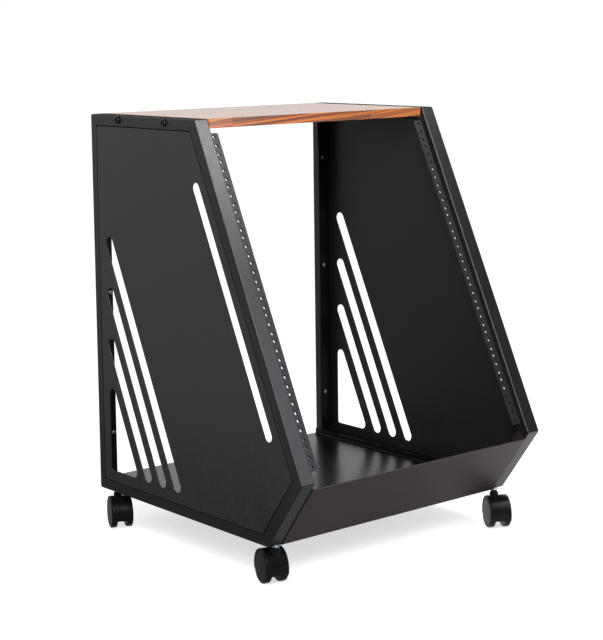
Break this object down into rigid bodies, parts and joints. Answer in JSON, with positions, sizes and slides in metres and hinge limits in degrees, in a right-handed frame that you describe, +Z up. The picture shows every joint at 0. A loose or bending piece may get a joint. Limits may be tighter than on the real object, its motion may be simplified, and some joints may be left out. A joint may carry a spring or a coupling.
{
  "type": "sloping rack cabinet",
  "caption": "Sloping equipment rack cabinet on casters, with slotted steel side frames, perforated rails, a bottom shelf and a wooden top board.",
  "frame": {"origin": "floor centre under the cabinet, midway between its rear face and its front nose", "axes": "+X right seen from the front, +Y to the rear (the front faces -Y), +Z up"},
  "size_m": [0.5756, 0.5755, 0.7444],
  "materials": {
    "frame_coat": "semi-gloss powder coat",
    "panel_coat": "satin powder coat",
    "shelf_coat": "glossy powder coat",
    "apron_coat": "semi-gloss powder coat",
    "rail_coat": "satin powder coat",
    "black_bolt": "black oxide",
    "black_screw": "black oxide",
    "wood": "clear lacquer",
    "zinc_stem": "zinc plated",
    "hood_nylon": "moulded",
    "wheel_nylon": "moulded"
  },
  "bodies": {
    "frame": {"rear_post_left": "frame_coat", "top_bar_left": "frame_coat", "front_post_left": "frame_coat", "nose_bar_left": "frame_coat", "base_bar_left": "frame_coat", "side_panel_left": "panel_coat", "rack_rail_left": "rail_coat", "top_bolt_left_1": "black_bolt", "top_bolt_left_2": "black_bolt", "panel_screw_left_1": "black_screw", "panel_screw_left_2": "black_screw", "panel_screw_left_3": "black_screw", "rail_screw_left_1": "black_screw", "rail_screw_left_2": "black_screw", "apron_screw_left_1": "black_screw", "apron_screw_left_2": "black_screw", "shelf_screw_left_1": "black_screw", "shelf_screw_left_2": "black_screw", "rear_post_right": "frame_coat", "top_bar_right": "frame_coat", "front_post_right": "frame_coat", "nose_bar_right": "frame_coat", "base_bar_right": "frame_coat", "side_panel_right": "panel_coat", "rack_rail_right": "rail_coat", "top_bolt_right_1": "black_bolt", "top_bolt_right_2": "black_bolt", "panel_screw_right_1": "black_screw", "panel_screw_right_2": "black_screw", "panel_screw_right_3": "black_screw", "rail_screw_right_1": "black_screw", "rail_screw_right_2": "black_screw", "apron_screw_right_1": "black_screw", "apron_screw_right_2": "black_screw", "shelf_screw_right_1": "black_screw", "shelf_screw_right_2": "black_screw", "top_board": "wood", "bottom_shelf": "shelf_coat", "front_apron": "apron_coat", "caster_stem_front_left": "zinc_stem", "caster_stem_front_right": "zinc_stem", "caster_stem_rear_left": "zinc_stem", "caster_stem_rear_right": "zinc_stem"},
    "caster_front_left": {"caster_hood_front_left": "hood_nylon", "caster_axle_front_left": "zinc_stem"},
    "wheel_a_front_left": {"caster_wheel_a_front_left": "wheel_nylon"},
    "wheel_b_front_left": {"caster_wheel_b_front_left": "wheel_nylon"},
    "caster_front_right": {"caster_hood_front_right": "hood_nylon", "caster_axle_front_right": "zinc_stem"},
    "wheel_a_front_right": {"caster_wheel_a_front_right": "wheel_nylon"},
    "wheel_b_front_right": {"caster_wheel_b_front_right": "wheel_nylon"},
    "caster_rear_left": {"caster_hood_rear_left": "hood_nylon", "caster_axle_rear_left": "zinc_stem"},
    "wheel_a_rear_left": {"caster_wheel_a_rear_left": "wheel_nylon"},
    "wheel_b_rear_left": {"caster_wheel_b_rear_left": "wheel_nylon"},
    "caster_rear_right": {"caster_hood_rear_right": "hood_nylon", "caster_axle_rear_right": "zinc_stem"},
    "wheel_a_rear_right": {"caster_wheel_a_rear_right": "wheel_nylon"},
    "wheel_b_rear_right": {"caster_wheel_b_rear_right": "wheel_nylon"}
  },
  "joints": [
    {"name": "swivel_front_left", "type": "hinge", "parent": "frame", "child": "caster_front_left", "pos_m": [-0.252, -0.19621, 0.066], "axis": [0, 0, 1], "continuous": true},
    {"name": "spin_a_front_left", "type": "hinge", "parent": "caster_front_left", "child": "wheel_a_front_left", "pos_m": [-0.24704, -0.17891, 0.027], "axis": [0.9613, -0.2756, 0], "continuous": true},
    {"name": "spin_b_front_left", "type": "hinge", "parent": "caster_front_left", "child": "wheel_b_front_left", "pos_m": [-0.24704, -0.17891, 0.027], "axis": [0.9613, -0.2756, 0], "continuous": true},
    {"name": "swivel_front_right", "type": "hinge", "parent": "frame", "child": "caster_front_right", "pos_m": [0.252, -0.19621, 0.066], "axis": [0, 0, 1], "continuous": true},
    {"name": "spin_a_front_right", "type": "hinge", "parent": "caster_front_right", "child": "wheel_a_front_right", "pos_m": [0.24327, -0.21195, 0.027], "axis": [-0.8746, 0.4848, 0], "continuous": true},
    {"name": "spin_b_front_right", "type": "hinge", "parent": "caster_front_right", "child": "wheel_b_front_right", "pos_m": [0.24327, -0.21195, 0.027], "axis": [-0.8746, 0.4848, 0], "continuous": true},
    {"name": "swivel_rear_left", "type": "hinge", "parent": "frame", "child": "caster_rear_left", "pos_m": [-0.252, 0.25979, 0.066], "axis": [0, 0, 1], "continuous": true},
    {"name": "spin_a_rear_left", "type": "hinge", "parent": "caster_rear_left", "child": "wheel_a_rear_left", "pos_m": [-0.25903, 0.24322, 0.027], "axis": [-0.9205, 0.3907, 0], "continuous": true},
    {"name": "spin_b_rear_left", "type": "hinge", "parent": "caster_rear_left", "child": "wheel_b_rear_left", "pos_m": [-0.25903, 0.24322, 0.027], "axis": [-0.9205, 0.3907, 0], "continuous": true},
    {"name": "swivel_rear_right", "type": "hinge", "parent": "frame", "child": "caster_rear_right", "pos_m": [0.252, 0.25979, 0.066], "axis": [0, 0, 1], "continuous": true},
    {"name": "spin_a_rear_right", "type": "hinge", "parent": "caster_rear_right", "child": "wheel_a_rear_right", "pos_m": [0.25874, 0.2431, 0.027], "axis": [-0.9272, -0.3746, 0], "continuous": true},
    {"name": "spin_b_rear_right", "type": "hinge", "parent": "caster_rear_right", "child": "wheel_b_rear_right", "pos_m": [0.25874, 0.2431, 0.027], "axis": [-0.9272, -0.3746, 0], "continuous": true}
  ]
}
